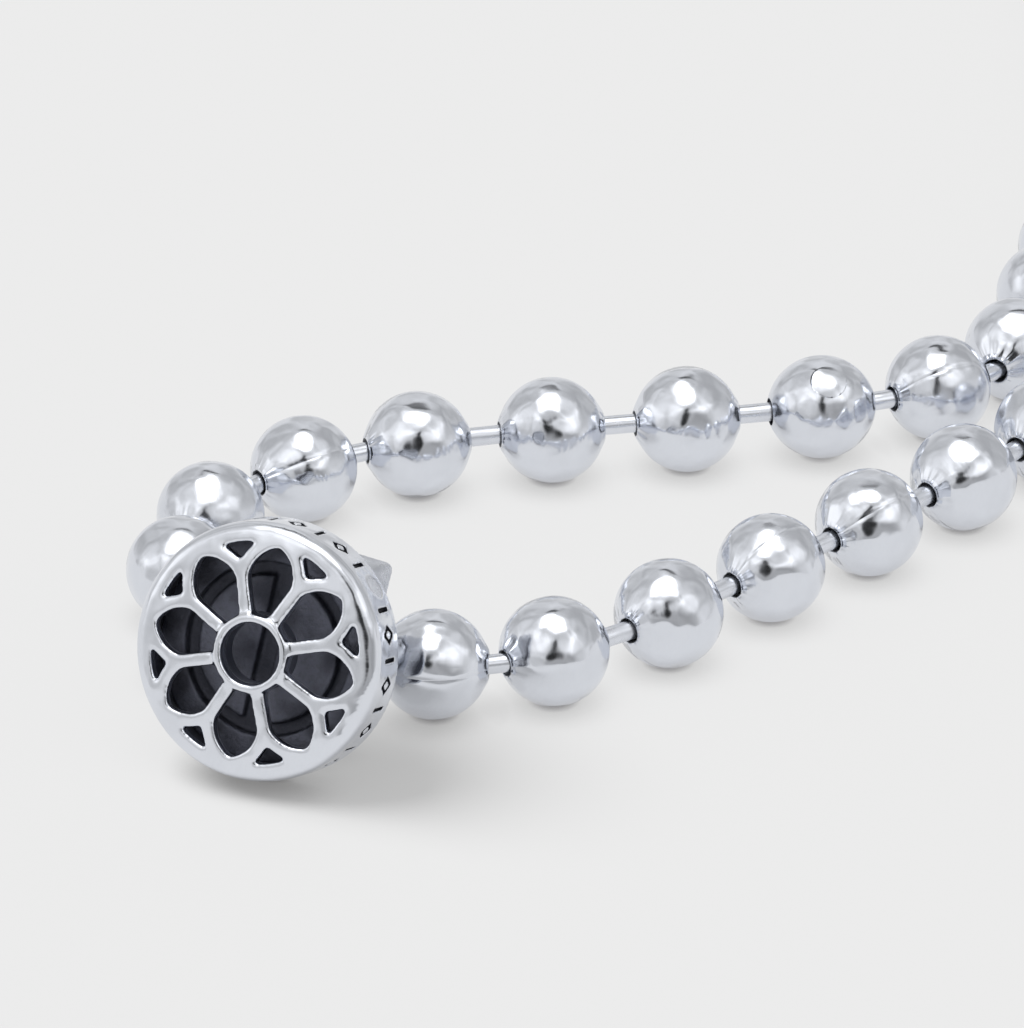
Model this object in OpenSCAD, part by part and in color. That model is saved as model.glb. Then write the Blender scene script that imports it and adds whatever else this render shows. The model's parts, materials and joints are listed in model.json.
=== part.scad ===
// Ball chain necklace with a round pierced clasp, lying on a flat surface.
// Millimetres, +Z up, the surface is z = 0, and the clasp's face looks towards -Y.
// The chain lies in one loop: a front strand and a back strand leave the clasp,
// come close together at a waist, and join in a round lobe.

/* [Beads] */
// Outside diameter of a bead
bead_d = 6.35; // [5.5:0.05:7]
// Wall of a hollow bead
bead_wall = 0.3; // [0.25:0.05:0.4]
// Hole at each end of a bead
hole_d = 1.65; // [1.4:0.05:1.7]
// Beads in the whole chain
bead_count = 60; // [56:1:72]

/* [Links] */
// Round bar of a link
bar_d = 1.15; // [0.8:0.05:1.15]
// Knob at each end of a link, held inside the beads
knob_d = 1.8; // [1.75:0.05:1.9]
// Length of a link between the centres of its knobs
link_l = 4.4; // [4.4:0.05:4.6]
// Bar that shows between two beads in the lobe
lobe_gap = 1.6; // [1.2:0.05:1.8]

/* [Joining bead] */
// Length of the joining bead along the chain
joining_l = 6.65; // [6.4:0.05:6.8]
// Width of the joining bead
joining_w = 6.2; // [6:0.05:6.35]
// Wall of the joining bead
joining_wall = 0.45; // [0.35:0.05:0.6]
// Round plug in its side
plug_d = 1.95; // [1.6:0.05:2.2]
// Gap round the plug
plug_gap = 0.11; // [0.1:0.01:0.2]
// How far the plug is turned up from the side of the bead that faces the front
plug_angle = 57; // [40:1:80]

/* [Clasp] */
// Outside diameter of the rim
rim_d = 14.7; // [14.4:0.1:15.2]
// Width of the straight band round the rim
band_w = 2.75; // [2.5:0.05:3]
// Radius of the rounded edge between the band and the face
edge_r = 0.75; // [0.6:0.05:0.85]
// Rise of the domed face above its edge
dome_rise = 0.6; // [0.4:0.05:0.9]
// Wall of the face and of the rim
face_wall = 0.8; // [0.7:0.05:0.9]
// Turn of the face to the left of straight ahead
clasp_turn = 22; // [18:1:26]
// Lean of the face upwards
clasp_tilt = 21; // [17:1:24]
// Roll of the face, clockwise as seen
clasp_roll = 6; // [4:1:8]

/* [Pierced face] */
// Windows round the hub
window_count = 8; // [7:1:9]
// Rib between two windows at its narrowest
rib_w = 0.8; // [0.7:0.05:0.9]
// Outside diameter of the hub
hub_d = 4.5; // [4.2:0.1:4.7]
// Opening through the hub
hub_hole_d = 3.5; // [3:0.1:3.6]
// Height of the hub above the dome
hub_rise = 0.15; // [0.1:0.05:0.3]
// Distance from the centre to the point of a window
window_reach = 6.1; // [5.9:0.05:6.2]

/* [Engraved band] */
// Places for marks round the band, lozenges and bars by turns
mark_count = 32; // [24:2:36]
// Depth of the marks
mark_depth = 0.2; // [0.1:0.05:0.3]
// Height of a mark across the band
mark_h = 1.5; // [1:0.05:1.7]
// Length of a lozenge along the band
lozenge_l = 1.2; // [1:0.05:1.3]
// Width of the cut lines
mark_w = 0.25; // [0.2:0.05:0.3]

/* [Hidden] */

$fn = 64;
cut = 0.01;          // cutting shapes run past the faces that they open
clear = 0.15;        // running gap between loose pieces

bead_r = bead_d/2;
hole_r = hole_d/2;
rim_r = rim_d/2;
face_r = rim_r - face_wall;          // inside of the rim
dome_r = ((rim_r - edge_r)*(rim_r - edge_r) + dome_rise*dome_rise)/(2*dome_rise);
face_top = band_w + edge_r + dome_rise;
window_step = 360/window_count;
tall = face_top + 1;    // cutting shapes of the face reach above its dome

// A link turns where it passes through the middle of a bead's wall
function pivot(half, wall) = sqrt((half - wall/2)*(half - wall/2) - hole_r*hole_r);

// Strand tables: links with this row's lie, turn of the chain at each, bar that shows.
// A link takes half of its turn at each of its two holes.
LINKS = 0;
TURN = 1;
GAP = 2;
front_table = [
    [1,  29, 0.85],  // out from behind the clasp
    [1,  15, 1.7],
    [1,   1, 1.8],   // straight stretch
    [2,   1, 1.75],
    [1,   8, 1.65],  // waist
    [6,  -7, 1.6],   // opens into the lobe
];
back_table = [
    [1, -14, 0.9],   // hidden behind the clasp
    [1, -32, 0.8],
    [1, -27, 1.7],
    [1, -18, 1.1],
    [1,  -6, 1.85],  // straight stretch
    [1,   0, 1.85],
    [1,   2, 1.75],
    [1,  15, 1.05],  // after the joining bead
    [1,  37, 1.05],  // waist
    [1,  18, 1.6],
    [1, -12, 0.4],
    [5,   6, 1.6],   // opens into the lobe
];
// First bead of each strand on the surface: its place and the way that its far hole points
front_start = [-4.45, -18.15];
front_heading = -2;
back_start = [-17.95, -13.95];
back_heading = 107;
joining_place = 7;   // the joining bead's place in the back strand, counted from 0

// Clasp, from the centre of the rim's back edge: right, up and out of the face
clasp_at = [-13.2, -22.75, rim_r*cos(clasp_tilt)];
catch_at = [0.55, -0.3, -4.15];    // centre of the bead held in the catch
anchor_at = [-3.7, -3.2, -3];      // centre of the last link's knob
catch_turn = 0.25;                 // how much further the held bead turns than its link

// Arches of the windows and the openings between them
arch_at = 4.2;          // from the middle to where a window's sides turn in
window_tip = rib_w/2/sin(window_step/2);
arch_half = (arch_at - window_tip)*tan(window_step/2);
arch_in = ((window_reach - arch_at)^2 - arch_half^2)/(2*arch_half);   // an arc's centre past the middle
spandrel_r = 6.25;
spandrel_from = 4.4;
side_end = arch_at - 0.05;    // the straight sides of a window end inside its arch
hub_depth = 1.9;        // length of the hub's tube
bare_place = 4;         // the band is left bare here, over the lug

// Back of the clasp, measured as clasp_at says
plate_r = face_r - 0.1;
floor_top = 0.9;
border_top = 1.6;
border_w = 1.5;
pad_r = 4.2;
pad_top = 1.5;
channel_w = 1.1;
housing_low = [-3.8, -4.2, -4.1];
housing_high = [4.8, 3.1, -clear];
lug_low = [-2.5, 2, -3.9];
lug_high = [4.3, 5.7, -clear];
housing_round = 1.2;
lug_round = 0.4;
claw_w = 2.6;
claw_wall = 0.7;
claw_reach = 1.3;
cup_r = 1.65;
cup_stem_r = 1.35;

function aim(a) = [cos(a), sin(a), 0];
function unit(v) = v/norm(v);
function turned(v, axis, a) = v*cos(a) + cross(axis, v)*sin(a) + axis*(axis*v)*(1 - cos(a));
function clasp_way(v) = turned(turned(turned(v, [0, 0, 1], -clasp_roll), [1, 0, 0], 90 - clasp_tilt),
                               [0, 0, 1], -clasp_turn);
function clasp_point(p) = clasp_at + clasp_way(p);
function reversed(list) = [for (i = [len(list) - 1:-1:0]) list[i]];

// A strand is walked bead by bead. Each place is the bead's centre and its heading.
function steps(table) = [for (row = table) for (i = [1:row[LINKS]]) row];
function half(joining) = joining ? joining_l/2 : bead_r;
function reach(joining) = pivot(half(joining), joining ? joining_wall : bead_wall);
function strand(at, heading, rows, joining = -1, i = 0) =
    i == len(rows) ? [[at, heading]] :
    let (here = i == joining,
         there = i + 1 == joining,
         turn = rows[i][TURN],
         bar = rows[i][GAP] + half(here) - reach(here) + half(there) - reach(there),
         next = at + reach(here)*aim(heading) + bar*aim(heading + turn/2) + reach(there)*aim(heading + turn))
    concat([[at, heading]], strand(next, heading + turn, rows, joining, i + 1));

front = strand([front_start.x, front_start.y, bead_r], front_heading, steps(front_table));
back = strand([back_start.x, back_start.y, bead_r], back_heading, steps(back_table), joining_place);

// The lobe runs on straight from both strands into one arc that touches both lines
front_end = front[len(front) - 1];
back_end = back[len(back) - 1];
front_way = aim(front_end[1]);
back_way = aim(back_end[1]);
spread = back_end[1] - front_end[1];
between = back_end[0] - front_end[0];
way_cross = cross(front_way, back_way).z;
front_run = -cross(between, back_way).z/way_cross;    // from where the two lines meet
back_run = -cross(between, front_way).z/way_cross;
lobe_links = bead_count - 1 - len(front) - len(back) + 1;
lobe_length = lobe_links*(bead_d + lobe_gap);
arc_turn = 180 + spread;
touch_run = (lobe_length + front_run + back_run)/(2 + tan(spread/2)*arc_turn*PI/180);
arc_r = touch_run*tan(spread/2);
front_straight = touch_run - front_run;
arc_length = arc_r*arc_turn*PI/180;
arc_centre = front_end[0] + front_straight*front_way + arc_r*aim(front_end[1] + 90);

function lobe_place(s) =
    s < front_straight ? [front_end[0] + s*front_way, front_end[1]] :
    s < front_straight + arc_length ?
        let (a = front_end[1] + (s - front_straight)/arc_r*180/PI) [arc_centre + arc_r*aim(a - 90), a] :
    [back_end[0] + (lobe_length - s)*back_way, back_end[1] + 180];
lobe = [for (i = [1:lobe_links - 1]) lobe_place(i*lobe_length/lobe_links)];

// The held bead's far hole points a little past the first bead's near hole
catch_centre = clasp_point(catch_at);
first_hole = front[0][0] - reach(false)*aim(front_heading);
catch_aim = unit(first_hole - catch_centre);
catch_way = unit(catch_aim + catch_turn*(catch_aim - aim(front_heading)));

// The whole chain in order, each bead as its centre and the way along the chain
chain = concat([[catch_centre, catch_way]],
               [for (p = front) [p[0], aim(p[1])]],
               [for (p = lobe) [p[0], aim(p[1])]],
               [for (p = reversed(back)) [p[0], aim(p[1] + 180)]]);
joining_index = len(chain) - 1 - joining_place;
last_knob = clasp_point(anchor_at);
last_hole = chain[len(chain) - 1][0] + reach(false)*chain[len(chain) - 1][1];
last_way = unit(last_knob - last_hole);

// The origin is the middle of the whole necklace, on the surface
bead_x = [for (p = chain) p[0].x];
bead_y = [for (p = chain) p[0].y];
face_out = clasp_way([0, 0, 1]);
clasp_front = clasp_at.y + band_w*face_out.y - (rim_r - edge_r)*sqrt(1 - face_out.y*face_out.y) - edge_r;
middle = [(min(bead_x) + max(bead_x))/2, (min(clasp_front, min(bead_y) - bead_r) + max(bead_y) + bead_r)/2, 0];

module settled() {
    translate(-middle) children();
}

module facing(at, way) {
    translate(at) rotate([0, acos(way.z), atan2(way.y, way.x)]) children();
}

module at_clasp() {
    settled() translate(clasp_at) rotate([90 - clasp_tilt, 0, -clasp_turn]) rotate([0, 0, -clasp_roll])
        children();
}

module bead() {
    difference() {
        sphere(d = bead_d);
        sphere(d = bead_d - 2*bead_wall);
        cylinder(d = hole_d, h = bead_d + 2*cut, center = true);
    }
}

// A bar with a knob at each end, centred on its middle
module link(length) {
    cylinder(d = bar_d, h = length, center = true);
    for (side = [-1, 1]) translate([0, 0, side*length/2]) sphere(d = knob_d);
}

function way_out(i) = chain[i][0] + reach(i == joining_index)*chain[i][1];
function way_in(i) = chain[i][0] - reach(i == joining_index)*chain[i][1];

module beads() {
    color("silver") settled()
        for (i = [0:len(chain) - 1]) if (i != joining_index) facing(chain[i][0], chain[i][1]) bead();
}

module links() {
    color("gainsboro") settled() {
        for (i = [0:len(chain) - 2]) {
            from = way_out(i);
            to = way_in(i + 1);
            facing((from + to)/2, unit(to - from)) link(link_l);
        }
        facing(last_knob - last_way*link_l/2, last_way) link(link_l);
    }
}

// A round that is longer than it is wide, pointed a little at its ends
module lemon(length, width) {
    side_r = (length*length + width*width)/(4*width);
    rotate_extrude() intersection() {
        translate([width/2 - side_r, 0]) circle(r = side_r);
        translate([0, -length]) square([width, 2*length]);
    }
}

module lemon_wall() {
    difference() {
        lemon(joining_l, joining_w);
        lemon(joining_l - 2*joining_wall, joining_w - 2*joining_wall);
    }
}

module lay_joining_bead() {
    place = chain[joining_index];
    settled() translate([place[0].x, place[0].y, bead_r])
        rotate([0, 0, atan2(place[1].y, place[1].x)]) children();
}

module joining_bead() {
    color("silver") lay_joining_bead() difference() {
        rotate([0, 90, 0]) lemon_wall();
        rotate([0, 90, 0]) cylinder(d = hole_d, h = 2*joining_l, center = true);
        rotate([plug_angle - 90, 0, 0]) cylinder(d = plug_d + 2*plug_gap, h = joining_w);
    }
}

module bead_plug() {
    color("gainsboro") lay_joining_bead() intersection() {
        rotate([0, 90, 0]) lemon_wall();
        rotate([plug_angle - 90, 0, 0]) cylinder(d = plug_d, h = joining_w);
    }
}

// Outside form of the clasp's front: band, rounded edge and dome
module face_form() {
    cylinder(r = rim_r, h = band_w);
    rotate_extrude() translate([rim_r - edge_r, band_w]) circle(r = edge_r);
    domed(rim_r - edge_r, 0);
}

// A straight-sided round under the dome, with the dome's wall taken off
module domed(r, wall) {
    intersection() {
        translate([0, 0, -cut]) cylinder(r = r, h = face_top + cut);
        translate([0, 0, face_top - dome_r]) sphere(r = dome_r - wall);
    }
}

// Two tall cylinders that cross in a pointed arch, swollen on all sides by grow
module arch(grow) {
    r = arch_half + arch_in + grow;
    intersection_for (side = [-1, 1]) translate([arch_at, side*arch_in, 0]) cylinder(r = r, h = tall);
}

// A tall wedge along +X with its sides at this angle from the axis
module wedge(tip, side_angle) {
    far = [rim_d*cos(side_angle), rim_d*sin(side_angle)];
    linear_extrude(tall) polygon([[tip, 0], [tip + far.x, far.y], [tip + far.x, -far.y]]);
}

// Straight sides from the hub out to the arch
module window() {
    intersection() {
        wedge(window_tip, window_step/2);
        union() {
            arch(0);
            translate([0, -rim_r, 0]) cube([side_end, rim_d, tall]);
        }
    }
}

// The small opening between two arches and the edge
module spandrel() {
    difference() {
        intersection() {
            cylinder(r = spandrel_r, h = tall);
            wedge(0, window_step/2);
            translate([spandrel_from, -rim_r, 0]) cube([rim_r, rim_d, tall]);
        }
        for (side = [-1, 1]) rotate([0, 0, side*window_step/2]) arch(rib_w);
    }
}

// A lozenge with its sides drawn in by inset
module lozenge(inset) {
    share = 1 - 2*inset*norm([mark_h, lozenge_l])/(mark_h*lozenge_l);
    h = share*mark_h/2;
    l = share*lozenge_l/2;
    polygon([[h, 0], [0, l], [-h, 0], [0, -l]]);
}

module band_marks() {
    for (i = [0:mark_count - 1]) if (i != bare_place) rotate([0, 0, i*360/mark_count])
        translate([rim_r - mark_depth, 0, band_w/2]) rotate([0, 90, 0]) linear_extrude(2*mark_depth)
            if (i % 2 == 0) difference() {
                lozenge(0);
                lozenge(mark_w);
            }
            else square([mark_h, mark_w], center = true);
}

module clasp_face() {
    color("silver") at_clasp() difference() {
        union() {
            difference() {
                face_form();
                for (i = [0:window_count - 1]) rotate([0, 0, 90 + i*window_step]) {
                    window();
                    rotate([0, 0, window_step/2]) spandrel();
                }
            }
            translate([0, 0, face_top - hub_depth]) cylinder(d = hub_d, h = hub_depth + hub_rise);
        }
        difference() {
            domed(face_r, face_wall);
            translate([0, 0, face_top - hub_depth]) cylinder(d = hub_d, h = hub_depth);
        }
        cylinder(d = hub_hole_d, h = tall);
        band_marks();
    }
}

// A block with rounded upright edges, from its lowest and highest corners
module rounded_block(low, high, r) {
    size = high - low;
    translate(low) {
        translate([r, 0, 0]) cube([size.x - 2*r, size.y, size.z]);
        translate([0, r, 0]) cube([size.x, size.y - 2*r, size.z]);
        for (x = [r, size.x - r], y = [r, size.y - r]) translate([x, y, 0]) cylinder(r = r, h = size.z);
    }
}

// Floor behind the pierced face, with a raised border and two pads beside a channel
module floor_plate() {
    translate([0, 0, -clear]) cylinder(r = plate_r, h = floor_top + clear);
    difference() {
        cylinder(r = plate_r, h = border_top);
        cylinder(r = plate_r - border_w, h = border_top + cut);
    }
    difference() {
        cylinder(r = pad_r, h = pad_top);
        translate([-channel_w/2, -pad_r, floor_top]) cube([channel_w, 2*pad_r, pad_top]);
    }
}

// Springy claws above and below the held bead
module claws() {
    intersection() {
        translate(catch_at) sphere(r = bead_r + clear + claw_wall);
        translate(catch_at + [-claw_w/2, -bead_d, -claw_reach]) cube([claw_w, 2*bead_d, claw_reach + bead_r]);
    }
}

module clasp_back() {
    color("dimgray") difference() {
        at_clasp() difference() {
            union() {
                floor_plate();
                rounded_block(housing_low, housing_high, housing_round);
                rounded_block(lug_low, lug_high, lug_round);
                claws();
                translate(anchor_at) {
                    sphere(r = cup_r);
                    cylinder(r = cup_stem_r, h = -anchor_at.z);
                }
            }
            translate(catch_at) sphere(r = bead_r + clear);
            translate(anchor_at) sphere(r = knob_d/2 + clear);
        }
        settled() facing(last_knob, -last_way) cylinder(d = hole_d, h = 2*cup_r);
    }
}

beads();
links();
joining_bead();
bead_plug();
clasp_face();
clasp_back();
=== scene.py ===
"""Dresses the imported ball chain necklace: balls, bars, joining ball, clasp and studio."""

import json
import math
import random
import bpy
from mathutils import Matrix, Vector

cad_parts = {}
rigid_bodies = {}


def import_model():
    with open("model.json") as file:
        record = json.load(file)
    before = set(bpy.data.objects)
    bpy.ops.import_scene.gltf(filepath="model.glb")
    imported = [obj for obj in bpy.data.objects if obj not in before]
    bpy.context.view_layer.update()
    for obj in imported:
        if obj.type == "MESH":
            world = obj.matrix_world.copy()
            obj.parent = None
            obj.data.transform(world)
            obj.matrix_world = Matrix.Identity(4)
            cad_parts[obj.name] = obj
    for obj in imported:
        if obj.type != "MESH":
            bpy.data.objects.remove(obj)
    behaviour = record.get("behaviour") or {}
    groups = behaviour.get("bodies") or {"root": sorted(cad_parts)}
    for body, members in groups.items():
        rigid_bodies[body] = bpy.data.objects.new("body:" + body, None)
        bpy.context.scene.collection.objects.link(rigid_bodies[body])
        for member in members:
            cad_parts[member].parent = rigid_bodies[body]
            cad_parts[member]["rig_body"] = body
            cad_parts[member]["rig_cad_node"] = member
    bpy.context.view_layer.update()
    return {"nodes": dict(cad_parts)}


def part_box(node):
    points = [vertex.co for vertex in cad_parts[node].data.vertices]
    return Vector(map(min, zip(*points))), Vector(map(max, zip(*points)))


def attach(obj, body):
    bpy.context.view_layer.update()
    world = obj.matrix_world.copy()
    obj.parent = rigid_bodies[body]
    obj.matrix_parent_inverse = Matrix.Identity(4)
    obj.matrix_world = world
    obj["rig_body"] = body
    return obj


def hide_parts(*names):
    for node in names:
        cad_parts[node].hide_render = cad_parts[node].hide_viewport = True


bl_info = {
    "name": "Ball chain necklace",
    "version": (1, 0, 0),
    "blender": (4, 5, 0),
    "location": "3D View > Sidebar > Necklace",
    "description": "Models the balls, bars and pierced clasp round the frame, and lights them",
    "category": "Object",
}

import bmesh
import bpy
import numpy as np
from bpy.props import FloatProperty, FloatVectorProperty, IntProperty, PointerProperty
from mathutils import Matrix, Vector

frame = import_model()

MM = 0.001
TOUCH = 1e-6
UP = Vector((0, 0, 1))


# Helpers for modelling


def deselect():
    bpy.ops.object.select_all(action="DESELECT")


def make_active(obj):
    deselect()
    obj.select_set(True)
    bpy.context.view_layer.objects.active = obj


def edit(obj):
    make_active(obj)
    bpy.ops.object.mode_set(mode="EDIT")


def leave_edit():
    bpy.ops.object.mode_set(mode="OBJECT")


def pick(obj, test, kind="VERT"):
    """In edit mode, selects the points that pass the test, or the edges whose both ends do."""
    bpy.ops.mesh.select_mode(type=kind)
    bpy.ops.mesh.select_all(action="DESELECT")
    shape = bmesh.from_edit_mesh(obj.data)
    for item in shape.verts if kind == "VERT" else shape.edges:
        ends = [item] if kind == "VERT" else item.verts
        item.select_set(all(test(end.co) for end in ends))
    shape.select_flush_mode()
    bmesh.update_edit_mesh(obj.data)


def apply_modifier(obj, kind, **settings):
    make_active(obj)
    modifier = obj.modifiers.new(kind.title(), kind)
    for key, value in settings.items():
        setattr(modifier, key, value)
    bpy.ops.object.modifier_apply(modifier=modifier.name)


def merged_copy(node, name):
    """A copy of a CAD node with its loose triangles merged. The node itself stays as it is."""
    copy = frame["nodes"][node].copy()
    copy.data = copy.data.copy()
    copy.parent = None
    copy.hide_render = copy.hide_viewport = False
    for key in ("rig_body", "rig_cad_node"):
        del copy[key]
    copy.name = copy.data.name = name
    bpy.context.scene.collection.objects.link(copy)
    edit(copy)
    bpy.ops.mesh.select_all(action="SELECT")
    bpy.ops.mesh.remove_doubles(threshold=TOUCH)
    leave_edit()
    return copy


def loose_solids(node):
    """The points of each loose solid of a CAD node."""
    copy = merged_copy(node, "parting")
    edit(copy)
    bpy.ops.mesh.separate(type="LOOSE")
    leave_edit()
    solids = []
    for part in list(bpy.context.selected_objects):
        points = np.empty(len(part.data.vertices) * 3)
        part.data.vertices.foreach_get("co", points)
        solids.append(points.reshape(-1, 3))
        bpy.data.objects.remove(part)
    return solids


def lay_copies(pattern, places, name):
    """Lays a copy of the pattern at each numbered place, with its number stored on its points,
    and joins them."""
    copies = []
    for number, place in places.items():
        copy = pattern.copy()
        copy.data = pattern.data.copy()
        copy.data.transform(place)
        stored = copy.data.attributes.new("number", "FLOAT", "POINT")
        stored.data.foreach_set("value", [number] * len(copy.data.vertices))
        bpy.context.scene.collection.objects.link(copy)
        copies.append(copy)
    deselect()
    for copy in copies:
        copy.select_set(True)
    bpy.context.view_layer.objects.active = copies[0]
    bpy.ops.object.join()
    copies[0].name = copies[0].data.name = name
    return copies[0]


def draw_out(rings, side=1):
    """Extrudes the picked loop along Z, from the first (radius, height) through the others."""
    for (radius, height), (next_radius, next_height) in zip(rings, rings[1:]):
        bpy.ops.mesh.extrude_region_move(
            TRANSFORM_OT_translate={"value": (0, 0, side * (next_height - height))}
        )
        grow = next_radius / radius
        bpy.ops.transform.resize(value=(grow, grow, 1), center_override=(0, 0, 0))


def along_chain(centre, way, seam=0.0):
    """The place of a pattern modelled along Z. The seam is its turn about the chain, in degrees."""
    turn = way.to_track_quat("Z", "Y").to_matrix().to_4x4()
    return Matrix.Translation(centre) @ turn @ Matrix.Rotation(math.radians(seam), 4, "Z")


def finish_piece(piece, node):
    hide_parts(node)
    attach(piece, "root")


# The chain as it lies, read from the frame

# A bar can belong to a ball only if its middle is this near, as shares of the ball's reach
NEAR_ALONG = 1.8
NEAR_ASIDE = 0.45


def middle_of(points):
    return Vector((points.min(0) + points.max(0)) / 2)


def wall_crossing(centre, bar, reach):
    """Where this bar passes through the ball's wall, or None if it belongs to another ball."""
    bar_middle, bar_way = bar
    away = centre - bar_middle
    along = away.dot(bar_way)
    aside = math.sqrt(max(away.length_squared - along * along, 0))
    if abs(along) > NEAR_ALONG * reach or aside > NEAR_ASIDE * reach:
        return None
    run = math.sqrt(reach * reach - aside * aside)
    return bar_middle + bar_way * (along - math.copysign(run, along))


def read_chain(settings):
    """The balls in order from the one in the clasp, each (centre, way along the chain, joining),
    and the bars, each (middle, way)."""
    bars = []
    for points in loose_solids("links"):
        bar_middle = middle_of(points)
        bar_way = np.linalg.svd(points - np.array(bar_middle), full_matrices=False)[2][0]
        bars.append((bar_middle, Vector(bar_way).normalized()))
    balls = [(middle_of(points), False) for points in loose_solids("beads")]
    low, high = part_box("joining_bead")
    balls.append(((low + high) / 2, True))

    def crossing(ball, bar):
        centre, joining = balls[ball]
        half = settings.joining_length / 2 if joining else settings.ball / 2
        wall = settings.joining_wall if joining else settings.wall
        reach = math.sqrt((half - wall / 2) ** 2 - (settings.hole / 2) ** 2)
        return wall_crossing(centre, bars[bar], reach)

    def first_met(pairs):
        """The first of the pairs (number, crossing) that has a crossing, or None."""
        return next((pair for pair in pairs if pair[1] is not None), None)

    here = max(range(len(balls)), key=lambda k: balls[k][0].z)
    entry, used, chain = None, set(), []
    while True:
        centre, joining = balls[here]
        bar, leaving = first_met((k, crossing(here, k)) for k in range(len(bars)) if k not in used)
        way = leaving - (centre if entry is None else entry)
        chain.append((centre, way.normalized(), joining))
        used.add(bar)
        following = first_met((k, crossing(k, bar)) for k in range(len(balls)) if k != here)
        if following is None:
            return chain, bars
        here, entry = following


# Helpers for materials


class Tree:
    """Builds one node tree in the order that it is read."""

    def __init__(self, tree):
        self.nodes, self.links = tree.nodes, tree.links

    def add(self, kind, inputs=None, **settings):
        node = self.nodes.new(kind)
        for key, value in settings.items():
            setattr(node, key, value)
        for key, value in (inputs or {}).items():
            if isinstance(value, bpy.types.NodeSocket):
                self.links.new(value, node.inputs[key])
            else:
                node.inputs[key].default_value = value
        return node

    def math(self, operation, first, second=0.0, third=0.0):
        inputs = {0: first, 1: second, 2: third}
        return self.add("ShaderNodeMath", inputs, operation=operation).outputs[0]

    def product(self, first, *others):
        for other in others:
            first = self.math("MULTIPLY", first, other)
        return first

    def vector(self, operation, first, second=(0, 0, 0), third=(0, 0, 0)):
        inputs = {0: first, 1: second, 2: third}
        node = self.add("ShaderNodeVectorMath", inputs, operation=operation)
        return node.outputs["Value" if operation in ("LENGTH", "DOT_PRODUCT") else "Vector"]

    def fade(self, value, start, end, low=0.0, high=1.0):
        """A smooth step from low, where the value is at the start, to high, at the end."""
        inputs = {"Value": value, "From Min": start, "From Max": end}
        inputs.update({"To Min": low, "To Max": high})
        return self.add("ShaderNodeMapRange", inputs, interpolation_type="SMOOTHSTEP").outputs[0]

    def noise(self, place, scale, detail=2.0, roughness=0.5):
        inputs = {"Vector": place, "Scale": scale, "Detail": detail, "Roughness": roughness}
        return self.add("ShaderNodeTexNoise", inputs).outputs["Fac"]

    def noise_4d(self, place, fourth, scale, detail):
        inputs = {"Vector": place, "W": fourth, "Scale": scale, "Detail": detail}
        return self.add("ShaderNodeTexNoise", inputs, noise_dimensions="4D").outputs["Fac"]

    def attribute(self, name, output="Fac"):
        return self.add("ShaderNodeAttribute", attribute_name=name).outputs[output]

    def occlusion(self, distance, samples):
        node = self.add("ShaderNodeAmbientOcclusion", {"Distance": distance}, samples=samples)
        return node.outputs["AO"]

    def mix(self, share, first, second):
        inputs = {0: share, 6: first, 7: second}
        return self.add("ShaderNodeMix", inputs, data_type="RGBA").outputs[2]

    def stretched(self, place, scale, turn):
        inputs = {"Vector": place, "Rotation": turn, "Scale": scale}
        return self.add("ShaderNodeMapping", inputs, vector_type="TEXTURE").outputs[0]

    def metal(self, shader, tone, roughness, relief, distance):
        """Makes the shader a metal with this tone, roughness and relief."""
        bump = self.add("ShaderNodeBump", {"Height": relief, "Distance": distance}).outputs[0]
        for name, value in (("Base Color", tone), ("Roughness", roughness), ("Normal", bump)):
            self.links.new(value, shader.inputs[name])
        shader.inputs["Metallic"].default_value = 1.0


def colour(rgb, share=1.0):
    """A share of the colour, for a node."""
    return (*(part * share for part in rgb), 1.0)


def grey(value):
    return colour([value] * 3)


def new_material(name):
    material = bpy.data.materials.new(name)
    material.use_nodes = True
    tree = Tree(material.node_tree)
    shader = material.node_tree.nodes["Principled BSDF"]
    place = tree.add("ShaderNodeTexCoord").outputs["Object"]
    return material, tree, shader, place


def new_group(name, vectors, numbers, outputs):
    """A node group that takes these vectors and numbers, and gives numbers."""
    group = bpy.data.node_groups.new(name, "ShaderNodeTree")
    for label in vectors:
        group.interface.new_socket(label, in_out="INPUT", socket_type="NodeSocketVector")
    for label in numbers:
        group.interface.new_socket(label, in_out="INPUT", socket_type="NodeSocketFloat")
    for label in outputs:
        group.interface.new_socket(label, in_out="OUTPUT", socket_type="NodeSocketFloat")
    tree = Tree(group)
    return group, tree, tree.add("NodeGroupInput").outputs, tree.add("NodeGroupOutput")


# Silver


class FinishSettings(bpy.types.PropertyGroup):
    silver: FloatVectorProperty(
        name="Silver",
        description="Colour of polished silver",
        default=(0.775, 0.8, 0.857),
        subtype="COLOR",
        min=0,
        max=1,
    )
    blackening: FloatVectorProperty(
        name="Blackening",
        description="Colour of blackened silver in the engraving",
        default=(0.012, 0.013, 0.018),
        subtype="COLOR",
        min=0,
        max=1,
    )
    oxide: FloatVectorProperty(
        name="Oxide",
        description="Colour of the darkened cast silver",
        default=(0.245, 0.255, 0.31),
        subtype="COLOR",
        min=0,
        max=1,
    )
    roughness: FloatProperty(
        name="Roughness", description="Roughness of the polish", default=0.13, min=0, max=1
    )


# How much of polished silver's colour is left where it is smudged, cast, raw, and tarnished and
# painted with shade inside a hole, and of the oxide's colour in its pits
SMUDGED, CAST, RAW, TARNISHED_AND_SHADED = 0.93, 0.85, 0.45, 0.16
DEEP_OXIDE = 0.75

# The polish: its slow waves, the ripples on them, and the buffing lines, turned as the wheel ran
WAVE_SIZE = 2.4 * MM
RIPPLE_SIZE = WAVE_SIZE / 2.7
BUFFING_SIZE = (0.08 * MM, 0.8 * MM, 0.5 * MM)
BUFFING_TURN = (0.4, 0.2, 0.6)


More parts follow.
